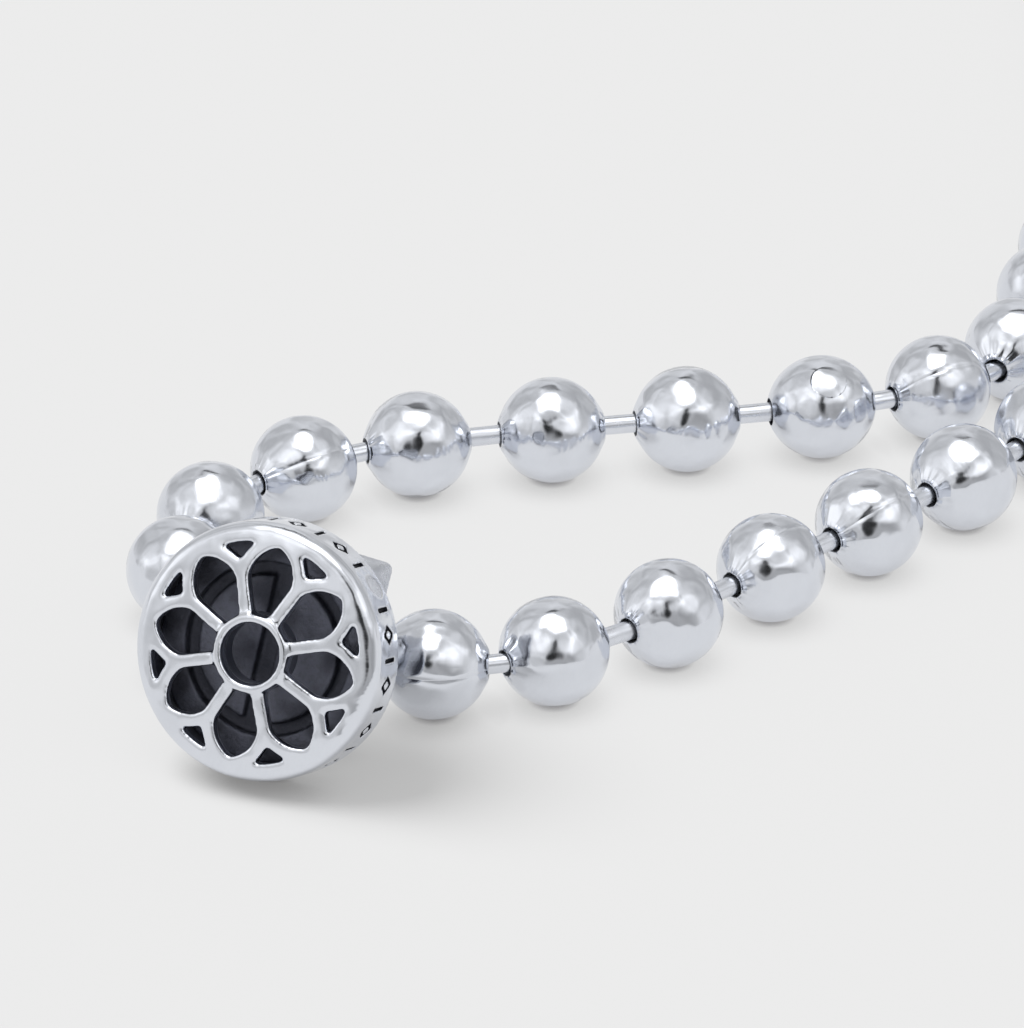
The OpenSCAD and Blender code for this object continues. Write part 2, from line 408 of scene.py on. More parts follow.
def polish_group():
    """Hand-polished silver: slow waves, small ripples, faint buffing lines and smudges."""
    name = "Polished silver"
    if name in bpy.data.node_groups:
        return bpy.data.node_groups[name]
    group, tree, given, out = new_group(
        name, ["Place"], ["Scuffing", "Base roughness"], ["Shade", "Roughness", "Height"]
    )
    place = given["Place"]
    wave = tree.noise(place, 1 / WAVE_SIZE, detail=0.0)
    ripple = tree.noise(place, 1 / RIPPLE_SIZE, detail=0.0)
    buffed = tree.stretched(place, BUFFING_SIZE, BUFFING_TURN)
    buffing = tree.noise(buffed, 1.0, detail=1.0)
    cloud = tree.noise(place, 340, detail=2.0, roughness=0.6)
    smudge = tree.fade(cloud, 0.42, 0.66)
    scuff = tree.product(tree.fade(cloud, 0.56, 0.68), given["Scuffing"])
    rough = tree.math("MULTIPLY_ADD", smudge, 0.05, given["Base roughness"])
    rough = tree.math("MULTIPLY_ADD", scuff, 0.1, rough)
    fine = tree.math("MULTIPLY_ADD", scuff, 0.014, 0.003)
    height = tree.math("MULTIPLY_ADD", ripple, 0.26, wave)
    height = tree.math("MULTIPLY_ADD", buffing, fine, height)
    shade = tree.math("MULTIPLY_ADD", smudge, 0.5, tree.product(buffing, 0.5))
    for name, value in (("Shade", shade), ("Roughness", rough), ("Height", height)):
        tree.links.new(value, out.inputs[name])
    return group


def polished(tree, place, finish, scuffing, roughness):
    """The tone, roughness and relief of polished silver."""
    polish = tree.add(
        "ShaderNodeGroup",
        {"Place": place, "Scuffing": scuffing, "Base roughness": roughness},
        node_tree=polish_group(),
    ).outputs
    tone = tree.mix(polish["Shade"], colour(finish.silver), colour(finish.silver, SMUDGED))
    return tone, polish["Roughness"], polish["Height"]


def silver_material(name, finish, wave_height, scuffing, roughness, from_ball=False):
    """Polished silver. On a ball the metal is creased round the holes, and tarnish and painted
    shade darken it inside them.
    """
    material, tree, shader, place = new_material(name)
    tone, rough, relief = polished(tree, place, finish, scuffing, roughness)
    if from_ball:
        # Tarnish and painted shade: the metal is painted dark down inside each hole, with a ragged
        # edge
        around = tree.attribute("around", "Vector")
        ragged = tree.noise(tree.vector("MULTIPLY_ADD", place, (300, 300, 300), around), 1.6)
        depth = tree.math("MULTIPLY_ADD", ragged, 0.3, tree.attribute("tarnish_and_shade"))
        dark = tree.fade(depth, 0.06, 0.16)
        tone = tree.mix(dark, tone, colour(finish.silver, TARNISHED_AND_SHADED))
        rough = tree.math("MULTIPLY_ADD", dark, 0.3, rough)
        own = tree.product(tree.attribute("number"), NEXT_CREASE)
        crease = tree.noise_4d(around, own, scale=2.2, detail=1.0)
        crease = tree.product(crease, tree.attribute("pinched"))
        relief = tree.math("MULTIPLY_ADD", crease, 0.8, relief)
    tree.metal(shader, tone, rough, relief, wave_height)
    return material


def dull_silver(name, finish):
    """Raw, unpolished silver, as inside a hollow ball."""
    material, tree, shader, place = new_material(name)
    grain = tree.noise(place, 2600, detail=4.0, roughness=0.65)
    stain = tree.fade(tree.noise(place, 500, detail=3.0), 0.35, 0.7)
    tone = tree.mix(stain, colour(finish.silver, RAW), colour(finish.blackening))
    tree.metal(shader, tone, tree.fade(grain, 0.3, 0.7, 0.4, 0.65), grain, 0.02 * MM)
    return material


# Balls

# The drawn-out neck round a ball's hole, from the sphere inwards: ring radius and height above
# the ball's middle, in millimetres
LIP_RADIUS, LIP_HEIGHT = 0, 1
LIP = (
    (1.35, 2.885),
    (1.12, 3.018),
    (0.97, 3.098),
    (0.85, 3.144),
    (0.775, 3.146),
    (0.735, 3.115),
    (0.705, 3.050),
    (0.665, 2.950),
    (0.625, 2.840),
)
LIP_START = 1.6 * MM

# Tarnish and painted shade lie inside this ring. They grow with the depth below this height, or at
# this pace going inwards, whichever is more
TARNISH_AND_SHADE_RING = 0.74 * MM
TARNISH_AND_SHADE_HEIGHT = 3.16 * MM
TARNISH_AND_SHADE_PACE = 1.2

# Creases are gone this far from the chain's line, and full this much nearer to it. Each ball's
# differ from the next one's by this step through the noise
CREASE_EDGE = 2.7 * MM
CREASE_WIDTH = 1.6 * MM
CREASE_POWER = 1.5
NEXT_CREASE = 2.7

# How near the outer surface, and how near the hole's edge, a point counts as on it
SKIN = 0.005 * MM
HOLE_ROOM = 0.08 * MM


class BallSettings(bpy.types.PropertyGroup):
    ball: FloatProperty(
        name="Ball", description="Outside diameter of a ball", default=6.35 * MM, unit="LENGTH"
    )
    wall: FloatProperty(
        name="Wall", description="Thickness of a ball's wall", default=0.3 * MM, unit="LENGTH"
    )
    hole: FloatProperty(
        name="Hole",
        description="Diameter of the hole at each end",
        default=1.65 * MM,
        unit="LENGTH",
    )
    joining_length: FloatProperty(
        name="Joining ball",
        description="Length of the joining ball along the chain",
        default=6.65 * MM,
        unit="LENGTH",
    )
    joining_wall: FloatProperty(
        name="Joining wall",
        description="Thickness of the joining ball's wall",
        default=0.45 * MM,
        unit="LENGTH",
    )
    seam_width: FloatProperty(
        name="Seam width",
        description="Width of the seam from hole to hole",
        default=0.05 * MM,
        unit="LENGTH",
    )
    seam_depth: FloatProperty(
        name="Seam depth", description="Depth of the seam", default=0.012 * MM, unit="LENGTH"
    )
    segments: IntProperty(
        name="Segments", description="Faces round a ball", default=56, min=24, max=96
    )
    rings: IntProperty(
        name="Rings", description="Rings from hole to hole", default=34, min=12, max=64
    )


def open_ends(ball, height, test):
    """Cuts both ends off the part of the ball that passes the test."""
    for side in (1, -1):
        pick(ball, test)
        bpy.ops.mesh.bisect(
            plane_co=(0, 0, side * height),
            plane_no=(0, 0, side),
            clear_outer=True,
            threshold=TOUCH,
        )


def sink_seam(ball, settings):
    """Presses a fine seam in along the ball's +X side, from hole to hole."""
    radius = settings.ball / 2

    def on_seam(point):
        return abs(point.y) < TOUCH and point.x > 0 and point.length > radius - SKIN

    pick(ball, on_seam, "EDGE")
    bpy.ops.mesh.bevel(offset=settings.seam_width / 2, segments=2, affect="EDGES")
    pick(ball, on_seam)
    sink = 1 - settings.seam_depth / radius
    bpy.ops.transform.resize(value=(sink, sink, sink), center_override=(0, 0, 0))


def mark_ball(mesh):
    """Stores where a ball is painted dark with tarnish and shade, where it is pinched, and which
    way round the chain a point lies.
    """
    tarnish_and_shade = mesh.attributes.new("tarnish_and_shade", "FLOAT", "POINT")
    pinched = mesh.attributes.new("pinched", "FLOAT", "POINT")
    around = mesh.attributes.new("around", "FLOAT_VECTOR", "POINT")
    for k, vertex in enumerate(mesh.vertices):
        aside = max(vertex.co.xy.length, TOUCH)
        # Tarnish and painted shade: how far down inside the hole a point lies
        inward = TARNISH_AND_SHADE_PACE * (TARNISH_AND_SHADE_RING - aside)
        if inward > 0:
            inward = max(TARNISH_AND_SHADE_HEIGHT - abs(vertex.co.z), inward)
        tarnish_and_shade.data[k].value = inward / MM
        near = min(max((CREASE_EDGE - aside) / CREASE_WIDTH, 0), 1)
        pinched.data[k].value = near**CREASE_POWER
        flat = vertex.co / aside
        around.data[k].vector = (flat.x, flat.y, math.copysign(2, flat.z))


def model_ball(settings):
    """One hollow ball along Z: a sphere opened at both ends, with a rolled lip, an inner wall
    and a fine seam along its +X side."""
    radius = settings.ball / 2
    inner = radius - settings.wall
    bpy.ops.mesh.primitive_uv_sphere_add(
        segments=settings.segments, ring_count=settings.rings, radius=radius
    )
    ball = bpy.context.object
    ball.name = "ball"
    edit(ball)
    open_at = math.sqrt(radius**2 - LIP_START**2)
    open_ends(ball, open_at, lambda c: True)
    lip = [(LIP_START, open_at)] + [(row[LIP_RADIUS] * MM, row[LIP_HEIGHT] * MM) for row in LIP]
    for side in (1, -1):
        pick(ball, lambda c: abs(c.z - side * open_at) < TOUCH, "EDGE")
        draw_out(lip, side)
    bpy.ops.mesh.select_all(action="DESELECT")
    bpy.ops.mesh.primitive_uv_sphere_add(
        segments=settings.segments, ring_count=settings.rings // 2, radius=inner
    )
    bpy.ops.mesh.flip_normals()
    inner_open = math.sqrt(inner**2 - (settings.hole / 2) ** 2)
    open_ends(ball, inner_open, lambda c: c.length < inner + TOUCH)
    lip_end = lip[-1][LIP_HEIGHT]
    for side in (1, -1):
        pick(
            ball,
            lambda c: min(abs(c.z - side * inner_open), abs(c.z - side * lip_end)) < 2 * TOUCH
            and c.xy.length < settings.hole / 2 + HOLE_ROOM,
            "EDGE",
        )
        bpy.ops.mesh.bridge_edge_loops()
    sink_seam(ball, settings)
    leave_edit()
    bpy.ops.object.shade_smooth_by_angle(angle=math.radians(50))
    mark_ball(ball.data)
    for face in ball.data.polygons:
        if face.center.length < radius - settings.wall / 2:
            face.material_index = 1
    return ball


# Seams that show: place in the chain, and how far round from level the seam lies, in degrees
SEAMS = {1: 168, 4: 112, 5: 133, 51: 48, 56: 40}

# The others lie underneath, between these two turns
HIDDEN_SEAMS = (250, 290)
SEAM_SEED = 7

# Pieces of the chain: name, first ball, and the ball after the last
BALL_GROUPS = (
    ("balls_clasp_side", 0, 15),
    ("balls_loop_right", 15, 30),
    ("balls_loop_left", 30, 45),
    ("balls_far_side", 45, 60),
)


class NECKLACE_OT_balls(bpy.types.Operator):
    """Models one hollow ball and lays it along the whole chain"""

    bl_idname = "necklace.balls"
    bl_label = "Chain balls"

    def execute(self, context):
        settings = context.scene.necklace_balls
        finish = context.scene.necklace_finish
        chain = read_chain(settings)[0]
        ball = model_ball(settings)
        outside = silver_material(
            "ball_silver",
            finish,
            wave_height=0.3 * MM,
            scuffing=0.55,
            roughness=finish.roughness,
            from_ball=True,
        )
        ball.data.materials.append(outside)
        ball.data.materials.append(dull_silver("ball_inside", finish))
        turns = random.Random(SEAM_SEED)
        seams = [SEAMS.get(k, turns.uniform(*HIDDEN_SEAMS)) for k in range(len(chain))]
        for name, first, end in BALL_GROUPS:
            places = {
                k: along_chain(chain[k][0], chain[k][1], seams[k])
                for k in range(first, end)
                if not chain[k][2]
            }
            piece = lay_copies(ball, places, name)
            finish_piece(piece, "beads")
        bpy.data.objects.remove(ball)
        return {"FINISHED"}


# Bars


class BarSettings(bpy.types.PropertyGroup):
    bar: FloatProperty(
        name="Bar", description="Diameter of a bar", default=1.15 * MM, unit="LENGTH"
    )
    knob: FloatProperty(
        name="Knob", description="Diameter of its knobs", default=1.8 * MM, unit="LENGTH"
    )
    length: FloatProperty(
        name="Length",
        description="Between the centres of its knobs",
        default=4.4 * MM,
        unit="LENGTH",
    )
    segments: IntProperty(
        name="Segments", description="Faces round a bar", default=24, min=12, max=48
    )


# A knob's rings, and the angle from its tip to the first of them
KNOB_RINGS = 6
KNOB_TIP = math.radians(14)

# A bar is a trace thinner in its middle, and the knob's foot is rounded over this length
BAR_WAIST = 0.985
KNOB_FOOT = 0.06 * MM


def model_bar(settings):
    """One bar along Z with a round knob at each end, drawn out of a disc ring by ring."""
    half, knob, bar = settings.length / 2, settings.knob / 2, settings.bar / 2
    neck = math.asin(bar / knob)
    rings = []
    for step in range(KNOB_RINGS):
        angle = KNOB_TIP + step * (math.pi - KNOB_TIP - neck) / (KNOB_RINGS - 1)
        rings.append((knob * math.sin(angle), -half - knob * math.cos(angle)))
    foot = -half + knob * math.cos(neck)
    rings.append((bar, foot + KNOB_FOOT))
    rings.append((bar * BAR_WAIST, foot / 2))
    rings += [(radius, -height) for radius, height in reversed(rings)]
    radius, height = rings[0]
    bpy.ops.mesh.primitive_circle_add(
        vertices=settings.segments, radius=radius, fill_type="NGON", location=(0, 0, height)
    )
    bpy.ops.object.transform_apply()
    link = bpy.context.object
    link.name = "bar"
    edit(link)
    bpy.ops.mesh.select_all(action="SELECT")
    bpy.ops.mesh.flip_normals()
    draw_out(rings)
    bpy.ops.mesh.select_all(action="SELECT")
    bpy.ops.mesh.normals_make_consistent(inside=False)
    leave_edit()
    bpy.ops.object.shade_smooth_by_angle(angle=math.radians(45))
    return link


class NECKLACE_OT_bars(bpy.types.Operator):
    """Models one knobbed bar and lays it between every two balls"""

    bl_idname = "necklace.bars"
    bl_label = "Chain bars"

    def execute(self, context):
        finish = context.scene.necklace_finish
        bars = read_chain(context.scene.necklace_balls)[1]
        bar = model_bar(context.scene.necklace_bars)
        bar.data.materials.append(
            silver_material(
                "bar_silver", finish, wave_height=0.12 * MM, scuffing=0.8, roughness=0.22
            )
        )
        places = {k: along_chain(middle, way) for k, (middle, way) in enumerate(bars)}
        finish_piece(lay_copies(bar, places, "bars"), "links")
        bpy.data.objects.remove(bar)
        return {"FINISHED"}


# The plug nearly fills its hole and sits against one side, so the line round it is thin and uneven
PLUG_GROWTH = 1.06
PLUG_SHIFT = (0.03 * MM, 0.01 * MM, 0.01 * MM)


class NECKLACE_OT_joining_ball(bpy.types.Operator):
    """Finishes the joining ball and the plug in its side"""

    bl_idname = "necklace.joining_ball"
    bl_label = "Joining ball"

    def execute(self, context):
        finish = context.scene.necklace_finish
        ball = frame["nodes"]["joining_bead"]
        ball.data.materials.clear()
        ball.data.materials.append(
            silver_material(
                "joining_silver",
                finish,
                wave_height=0.3 * MM,
                scuffing=0.8,
                roughness=finish.roughness,
            )
        )
        plug = merged_copy("bead_plug", "seated_plug")
        low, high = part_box("bead_plug")
        edit(plug)
        bpy.ops.mesh.select_all(action="SELECT")
        bpy.ops.transform.resize(value=(PLUG_GROWTH,) * 3, center_override=(low + high) / 2)
        bpy.ops.transform.translate(value=PLUG_SHIFT)
        leave_edit()
        plug.data.materials.clear()
        plug.data.materials.append(
            silver_material(
                "plug_silver",
                finish,
                wave_height=0.2 * MM,
                scuffing=1.0,
                roughness=finish.roughness,
            )
        )
        finish_piece(plug, "bead_plug")
        return {"FINISHED"}


# Clasp


class ClaspSettings(bpy.types.PropertyGroup):
    centre: FloatVectorProperty(
        name="Centre",
        description="Centre of the rim's back edge",
        default=(-67.939 * MM, -74.906 * MM, 6.862 * MM),
        subtype="XYZ",
        unit="LENGTH",
    )
    turn: FloatProperty(
        name="Turn", description="Turn of the face to the left", default=22.0, min=0, max=45
    )
    tilt: FloatProperty(
        name="Tilt", description="Lean of the face upwards", default=21.0, min=0, max=45
    )
    roll: FloatProperty(
        name="Roll", description="Roll of the face, clockwise", default=6.0, min=0, max=45
    )
    rim: FloatProperty(
        name="Rim", description="Outside diameter of the rim", default=14.7 * MM, unit="LENGTH"
    )
    face_top: FloatProperty(
        name="Face top",
        description="Height of the dome above the rim's back edge",
        default=4.1 * MM,
        unit="LENGTH",
    )
    dome: FloatProperty(
        name="Dome", description="Radius of the dome", default=36.6 * MM, unit="LENGTH"
    )
    face_grain: FloatProperty(
        name="Face grain",
        description="Size of the faces of the cast front",
        default=0.08 * MM,
        unit="LENGTH",
    )
    back_grain: FloatProperty(
        name="Back grain",
        description="Size of the faces of the cast back",
        default=0.1 * MM,
        unit="LENGTH",
    )
    band: FloatProperty(
        name="Band", description="Width of the straight band", default=2.75 * MM, unit="LENGTH"
    )
    groove: FloatProperty(
        name="Groove", description="Depth of the engraving", default=0.2 * MM, unit="LENGTH"
    )


# How far in from the dome, and from the band, the clasp's dark inner walls start
BELOW_DOME = 0.5 * MM
BEHIND_BAND = 0.8 * MM

# The part of its faces that the thinned piece keeps
FACES_KEPT = 0.69

# Plain strip along both edges of the band
BAND_EDGE = 0.2 * MM

# Middle of the pitted patch on the band, in millimetres from the centre of the rim's back edge
PITTED_PLACE = (5.2, 5.15, 1.15)

# Where the engraving can lie, in millimetres: between these heights on the band
ENGRAVED_LOW, ENGRAVED_HIGH = 0.25, 2.5


def clasp_rotation(settings):
    turn, tilt, roll = (math.radians(a) for a in (settings.turn, settings.tilt, settings.roll))
    return (
        Matrix.Rotation(-turn, 4, "Z")
        @ Matrix.Rotation(math.pi / 2 - tilt, 4, "X")
        @ Matrix.Rotation(-roll, 4, "Z")
    )


def to_clasp(settings):
    """The matrix from a place in the scene to one on the clasp, with Z out through its face."""
    return (Matrix.Translation(settings.centre) @ clasp_rotation(settings)).inverted()


def cast_copy(node, name, grain):
    """The node's form as cast metal: one even skin."""
    piece = merged_copy(node, name)
    piece.data.materials.clear()
    apply_modifier(piece, "REMESH", mode="VOXEL", voxel_size=grain)
    return piece


def group_points(obj, name, test):
    """Puts the points that pass the test in a vertex group."""
    obj.vertex_groups.new(name=name)
    edit(obj)
    pick(obj, test)
    bpy.ops.object.vertex_group_assign()
    leave_edit()


def smooth_face(piece, settings):
    """Rounds the ribs like worn silver, and turns the band true, with its engraving still crisp."""
    inverse = to_clasp(settings)
    rim = settings.rim / 2

    def on_band(point, depth, low, high):
        local = inverse @ point
        return low < local.z < high and local.xy.length > rim - depth

    deepest, shallow = 1.5 * settings.groove, 0.3 * settings.groove
    low, high = BAND_EDGE, settings.band - BAND_EDGE
    group_points(piece, "band", lambda c: on_band(c, deepest, 0, settings.band))
    apply_modifier(
        piece, "SMOOTH", factor=0.5, iterations=49, vertex_group="band", invert_vertex_group=True
    )
    apply_modifier(piece, "SMOOTH", factor=0.5, iterations=2)
    group_points(piece, "turned", lambda c: on_band(c, shallow, low, high))
    bpy.ops.object.empty_add(
        location=settings.centre, rotation=clasp_rotation(settings).to_euler()
    )
    axis = bpy.context.object
    apply_modifier(
        piece,
        "CAST",
        cast_type="CYLINDER",
        object=axis,
        use_transform=True,
        factor=1.0,
        radius=0.0,
        use_radius_as_size=False,
        size=rim,
        vertex_group="turned",
    )
    bpy.data.objects.remove(axis)
    make_active(piece)
    bpy.ops.object.shade_smooth()


def thin_inside(piece, settings):
    """Merges faces on the dark inner walls, which need few, and leaves the polished outside."""
    inverse = to_clasp(settings)
    dome_middle = Vector((0, 0, settings.face_top - settings.dome))
    widest = settings.rim / 2 - BEHIND_BAND

    def inside(point):
        local = inverse @ point
        depth = settings.dome - (local - dome_middle).length
        return depth > BELOW_DOME and local.xy.length < widest

    group_points(piece, "inside", inside)
    apply_modifier(piece, "DECIMATE", ratio=FACES_KEPT, vertex_group="inside")


def clasp_place(tree, place, settings):
    """The place on the clasp in millimetres, from the centre of the rim's back edge."""
    inputs = {
        "Vector": place,
        "Location": tuple(settings.centre),
        "Rotation": tuple(clasp_rotation(settings).to_euler()),
        "Scale": (MM, MM, MM),
    }
    return tree.add("ShaderNodeMapping", inputs, vector_type="TEXTURE").outputs[0]


def face_material(finish, settings):
    """Polished outside, blackened engraving and darkened inside, told apart by place."""
    material, tree, shader, place = new_material("face_silver")
    local = clasp_place(tree, place, settings)
    height = tree.add("ShaderNodeSeparateXYZ", {0: local}).outputs["Z"]
    from_axis = tree.vector("LENGTH", tree.vector("MULTIPLY", local, (1, 1, 0)))
    rim = settings.rim / 2 / MM
    dome_middle = (0, 0, (settings.face_top - settings.dome) / MM)
    from_dome = tree.vector("LENGTH", tree.vector("SUBTRACT", local, dome_middle))
    depth = tree.math("SUBTRACT", settings.dome / MM, from_dome)

    above_low = tree.fade(height, ENGRAVED_LOW, ENGRAVED_LOW + 0.05)
    below_high = tree.fade(height, ENGRAVED_HIGH, ENGRAVED_HIGH - 0.05)
    sunk_in_band = tree.fade(from_axis, rim - 0.02, rim - 0.06)
    near_band = tree.fade(from_axis, rim - 0.5, rim - 0.4)
    engraved = tree.product(above_low, below_high, sunk_in_band, near_band)
    below_face = tree.fade(depth, 0.35, 0.75)
    behind_rim = tree.fade(from_axis, rim - 0.72, rim - 0.8)
    inside = tree.product(below_face, behind_rim)
    dark = tree.math("MAXIMUM", inside, engraved)

    tone, rough, relief = polished(tree, place, finish, 0.7, finish.roughness)
    tone = tree.mix(inside, tone, colour(finish.oxide))
    tone = tree.mix(engraved, tone, colour(finish.blackening))
    pitted = tree.vector("LENGTH", tree.vector("SUBTRACT", local, PITTED_PLACE))
    pitted = tree.fade(pitted, 0.85, 0.4)
    pits = tree.product(tree.noise(place, 5200, 2.0, 0.7), pitted)
    rough = tree.math("MULTIPLY_ADD", dark, 0.35, rough)
    rough = tree.math("MULTIPLY_ADD", pitted, 0.15, rough)
    relief = tree.math("MULTIPLY_ADD", pits, 1.5, relief)
    tree.metal(shader, tone, rough, relief, 0.17 * MM)
    return material


def back_material(finish, settings):
    """Cast silver gone dark: porous, with paler metal on the parts that rub, and painted shade that
    darkens the recess floor.
    """
    material, tree, shader, place = new_material("back_silver")
    local = clasp_place(tree, place, settings)
    height = tree.add("ShaderNodeSeparateXYZ", {0: local}).outputs["Z"]
    pits = tree.noise(place, 3200, 5.0, 0.7)
    lumps = tree.noise(place, 700, 3.0, 0.5)
    behind = tree.fade(height, -0.3, -0.9)
    rubbed = tree.product(behind, tree.fade(lumps, 0.38, 0.62, 0.8, 1.0))
    # Painted shade: the metal is darker towards the floor of the recess, below 1.45 mm, and in
    # shady patches at random, mixed towards blackening
    low = tree.fade(height, 1.45, 1.0, 0.0, 0.5)
    shady = tree.fade(tree.noise(place, 420, 1.0), 0.64, 0.36, 0.0, 0.6)
    raised = tree.fade(pits, 0.35, 0.6)
    dark = tree.mix(raised, colour(finish.oxide, DEEP_OXIDE), colour(finish.oxide))
    dark = tree.mix(tree.math("MAXIMUM", low, shady), dark, colour(finish.blackening))
    tone = tree.mix(rubbed, dark, colour(finish.silver, CAST))
    rough = tree.math("MULTIPLY_ADD", rubbed, -0.3, tree.fade(pits, 0.3, 0.7, 0.5, 0.7))
    relief = tree.math("MULTIPLY_ADD", pits, 0.7, lumps)
    tree.metal(shader, tone, rough, relief, 0.1 * MM)
    return material


class NECKLACE_OT_clasp_face(bpy.types.Operator):
    """Casts and polishes the clasp's pierced face and its engraved band"""

    bl_idname = "necklace.clasp_face"
    bl_label = "Clasp face"

    def execute(self, context):
        settings = context.scene.necklace_clasp
        piece = cast_copy("clasp_face", "clasp_front", settings.face_grain)
        smooth_face(piece, settings)
        thin_inside(piece, settings)
        piece.data.materials.append(face_material(context.scene.necklace_finish, settings))
        finish_piece(piece, "clasp_face")
        return {"FINISHED"}


class NECKLACE_OT_clasp_back(bpy.types.Operator):
    """Casts the clasp's dark back with the catch for the end ball"""

    bl_idname = "necklace.clasp_back"
    bl_label = "Clasp back"

    def execute(self, context):
        settings = context.scene.necklace_clasp
        piece = cast_copy("clasp_back", "clasp_catch", settings.back_grain)
        apply_modifier(piece, "SMOOTH", factor=0.5, iterations=12)
        bpy.ops.object.shade_smooth()
        piece.data.materials.append(back_material(context.scene.necklace_finish, settings))
        finish_piece(piece, "clasp_back")
        return {"FINISHED"}


# Studio

# What the silver reflects of the studio, each an oval seen from the necklace. Azimuth 0 is the
# camera's side and 90 is to the right. Sizes are half widths in degrees.
AZIMUTH, ELEVATION, WIDE, HIGH, SOFT, BRIGHT = 0, 1, 2, 3, 4, 5
STUDIO = {
    "right_wall": (125, 25, 34, 26, 0.7, 0.62),
    "left_wall": (-135, 20, 26, 22, 0.7, 0.62),
    "front_wall": (20, 8, 40, 19, 0.6, 0.4),
    "side_panel": (-83, 23, 19, 16, 0.8, 1.15),
    "left_window": (-44, 47, 18, 10, 0.8, 1.25),
    "window": (58, 40, 26, 15, 0.8, 1.3),
    "overhead_box": (-60, 85, 22, 20, 0.4, 3.0),
    "box_frame": (178, 54, 14, 4.5, 0.35, 0.06),
    "camera_stand": (-6, 43, 6, 9, 0.45, 0.06),
    "camera": (-4, 25, 12, 12, 0.4, 0.02),
}

# The walls' brightness varies between these shares
CLUTTER = (0.78, 1.14)

# Way to the middle of the soft light that throws the shadows
KEY_WAY = Vector((-0.56, 0.17, 0.82))

FLOOR_RADIUS = 20

# Painted shadow on the floor: what is left of its tone and glow at a point of contact, and of its
# glow near a piece
CONTACT_SHADOW_TONE = (0.45, 0.45, 0.46)
SHADE_TONE = (0.45, 0.443, 0.44)


class StageSettings(bpy.types.PropertyGroup):
    wall: FloatProperty(
        name="Wall", description="Brightness of the studio walls", default=0.75, min=0
    )
    backdrop: FloatProperty(
        name="Backdrop", description="Brightness behind the floor", default=0.831, min=0
    )
    floor: FloatProperty(
        name="Floor", description="How pale the floor is", default=0.1, min=0, max=1
    )
    floor_glow: FloatProperty(
        name="Floor glow", description="Light that comes through the floor", default=0.427, min=0
    )
    floor_reach: FloatProperty(
        name="Floor reach",
        description="How far round a piece the floor's own light is dimmed",
        default=2.3 * MM,
        unit="LENGTH",
    )
    floor_contact: FloatProperty(
        name="Floor contact",
        description="How far round a point of contact the floor is darkest",
        default=0.35 * MM,
        unit="LENGTH",
    )
    key: FloatProperty(
        name="Key", description="Strength of the soft light that throws shadows", default=12, min=0
    )
    key_spread: FloatProperty(
        name="Key spread", description="Width of the soft light, in degrees", default=46, min=0
    )
    aim: FloatVectorProperty(
        name="Aim",
        description="Point that the camera looks at",
        default=(-54.739 * MM, -52.156 * MM, 3.175 * MM),
        subtype="XYZ",
        unit="LENGTH",
    )
    elevation: FloatProperty(
        name="Elevation", description="Height of the camera above level, in degrees", default=28.03
    )
    distance: FloatProperty(
        name="Distance", description="Camera to its aim", default=0.545, unit="LENGTH"
    )
    lens: FloatProperty(
        name="Lens", description="Focal length in millimetres", default=325.8, min=1
    )


def oval_group():
    """How much of an oval panel lies in a direction: 1 in its middle, 0 outside."""
    group, tree, given, out = new_group(
        "Studio oval", ["Way", "Facing", "Across", "Upward"], ["Softness"], ["Share"]
    )
    ahead = tree.vector("DOT_PRODUCT", given["Way"], given["Facing"])
    near = tree.math("MAXIMUM", ahead, 0.001)
    across = tree.math("DIVIDE", tree.vector("DOT_PRODUCT", given["Way"], given["Across"]), near)
    upward = tree.math("DIVIDE", tree.vector("DOT_PRODUCT", given["Way"], given["Upward"]), near)
    squares = tree.math("ADD", tree.math("POWER", across, 2), tree.math("POWER", upward, 2))
    outward = tree.math("SQRT", squares)
    inner = tree.math("SUBTRACT", 1.0, given["Softness"])
    outer = tree.math("ADD", 1.0, given["Softness"])
    share = tree.fade(outward, outer, inner)
    share = tree.product(share, tree.math("GREATER_THAN", ahead, 0.0))
    tree.links.new(share, out.inputs["Share"])
    return group


def sky_way(azimuth, elevation):
    """The way to a place in the studio, from angles in degrees."""
    azimuth, elevation = math.radians(azimuth), math.radians(elevation)
    level = Vector((math.sin(azimuth), -math.cos(azimuth), 0)) * math.cos(elevation)
    return level + UP * math.sin(elevation)


def build_world(scene, settings):
    world = bpy.data.worlds.new("studio")
    scene.world = world
    world.use_nodes = True
    tree = Tree(world.node_tree)
    group = oval_group()
    way = tree.add("ShaderNodeTexCoord").outputs["Generated"]
    walls = grey(settings.wall)
    for name, row in STUDIO.items():
        facing = sky_way(row[AZIMUTH], row[ELEVATION])
        across = facing.cross(UP).normalized()
        upward = across.cross(facing)
        inputs = {
            "Way": way,
            "Facing": facing,
            "Across": across / math.tan(math.radians(row[WIDE])),
            "Upward": upward / math.tan(math.radians(row[HIGH])),
            "Softness": row[SOFT],
        }
        oval = tree.add("ShaderNodeGroup", inputs, node_tree=group, name=name, label=name)
        walls = tree.mix(oval.outputs[0], walls, grey(row[BRIGHT]))
    clutter = tree.fade(tree.noise(way, 3.0, detail=1.0), 0.3, 0.7, *CLUTTER)
    clutter = tree.add("ShaderNodeCombineXYZ", {0: clutter, 1: clutter, 2: clutter}).outputs[0]
    walls = tree.vector("MULTIPLY", walls, clutter)
    seen = tree.add("ShaderNodeLightPath").outputs["Is Camera Ray"]
    shown = tree.mix(seen, walls, grey(settings.backdrop))
    tree.links.new(shown, world.node_tree.nodes["Background"].inputs["Color"])


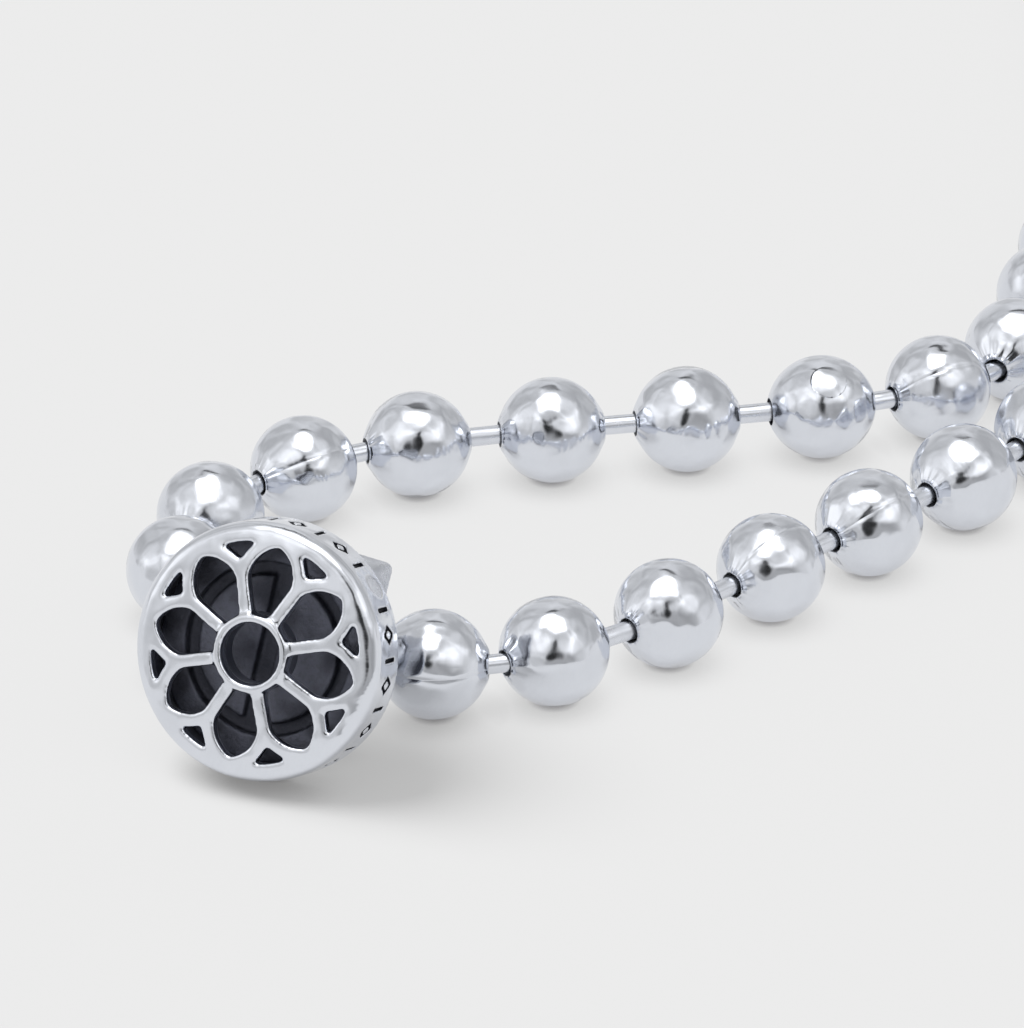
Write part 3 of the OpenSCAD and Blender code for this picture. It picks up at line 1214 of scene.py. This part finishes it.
def floor_material(settings):
    material, tree, shader, place = new_material("pale_floor")
    pale = settings.floor
    tone = tree.mix(tree.noise(place, 6.0, 2.0), grey(pale), grey(pale * 0.995))
    # Painted shadows: occlusion darkens the floor's tone and glow round each point of contact, and
    # its glow near a piece
    contact = tree.occlusion(settings.floor_contact, samples=2)
    contact = tree.mix(tree.fade(contact, 0.0, 0.8), colour(CONTACT_SHADOW_TONE), grey(1.0))
    shade = tree.occlusion(settings.floor_reach, samples=3)
    glow = tree.mix(tree.fade(shade, 0.0, 0.75), colour(SHADE_TONE), grey(1.0))
    tone = tree.vector("MULTIPLY", tone, contact)
    glow = tree.vector("MULTIPLY", glow, contact)
    tree.links.new(tone, shader.inputs["Base Color"])
    tree.links.new(glow, shader.inputs["Emission Color"])
    shader.inputs["Emission Strength"].default_value = settings.floor_glow
    shader.inputs["Roughness"].default_value = 0.9
    shader.inputs["Specular IOR Level"].default_value = 0.0
    return material


def lay_floor(settings):
    deselect()
    bpy.ops.mesh.primitive_circle_add(vertices=32, radius=FLOOR_RADIUS, fill_type="NGON")
    floor = bpy.context.object
    floor.name = "floor"
    floor.data.materials.append(floor_material(settings))


def hang_key(settings):
    """The soft light. Only the clasp throws a shadow in it, as the balls' are pale and short."""
    bpy.ops.object.light_add(type="SUN", rotation=KEY_WAY.to_track_quat("Z", "Y").to_euler())
    key = bpy.context.object
    key.name = "soft_light"
    key.data.energy = settings.key
    key.data.angle = math.radians(settings.key_spread)
    key.visible_glossy = False
    blockers = bpy.data.collections.new("shadow makers")
    for name in ("clasp_front", "clasp_catch"):
        blockers.objects.link(bpy.data.objects[name])
    key.light_linking.blocker_collection = blockers


def set_camera(scene, settings):
    back = sky_way(0, settings.elevation)
    camera = bpy.data.objects.new("camera", bpy.data.cameras.new("camera"))
    scene.collection.objects.link(camera)
    camera.location = Vector(settings.aim) + back * settings.distance
    camera.rotation_euler = (-back).to_track_quat("-Z", "Y").to_euler()
    camera.data.lens = settings.lens
    camera.data.sensor_width = 36
    camera.data.clip_start, camera.data.clip_end = 0.01, 100
    scene.camera = camera


class NECKLACE_OT_stage(bpy.types.Operator):
    """Lays the pale floor, lights the studio and sets the camera"""

    bl_idname = "necklace.stage"
    bl_label = "Studio"

    def execute(self, context):
        settings = context.scene.necklace_stage
        lay_floor(settings)
        build_world(context.scene, settings)
        hang_key(settings)
        context.scene.view_settings.view_transform = "Standard"
        set_camera(context.scene, settings)
        return {"FINISHED"}


class NECKLACE_PT_panel(bpy.types.Panel):
    """Lists the steps that dress the necklace"""

    bl_label = "Necklace"
    bl_idname = "NECKLACE_PT_panel"
    bl_space_type = "VIEW_3D"
    bl_region_type = "UI"
    bl_category = "Necklace"

    def draw(self, context):
        for step in STEPS:
            self.layout.operator(step.bl_idname)
        for group in SETTINGS:
            settings = getattr(context.scene, group)
            box = self.layout.box()
            for name in settings.bl_rna.properties.keys():
                if name not in ("rna_type", "name"):
                    box.prop(settings, name)


SETTINGS = {
    "necklace_finish": FinishSettings,
    "necklace_balls": BallSettings,
    "necklace_bars": BarSettings,
    "necklace_clasp": ClaspSettings,
    "necklace_stage": StageSettings,
}
STEPS = (
    NECKLACE_OT_balls,
    NECKLACE_OT_bars,
    NECKLACE_OT_joining_ball,
    NECKLACE_OT_clasp_face,
    NECKLACE_OT_clasp_back,
    NECKLACE_OT_stage,
)
CLASSES = (*SETTINGS.values(), *STEPS, NECKLACE_PT_panel)


def register():
    for item in CLASSES:
        bpy.utils.register_class(item)
    for name, group in SETTINGS.items():
        setattr(bpy.types.Scene, name, PointerProperty(type=group))


def unregister():
    for name in SETTINGS:
        delattr(bpy.types.Scene, name)
    for item in reversed(CLASSES):
        bpy.utils.unregister_class(item)


def main():
    register()
    bpy.ops.necklace.balls()
    bpy.ops.necklace.bars()
    bpy.ops.necklace.joining_ball()
    bpy.ops.necklace.clasp_face()
    bpy.ops.necklace.clasp_back()
    bpy.ops.necklace.stage()


if __name__ == "__main__":
    main()
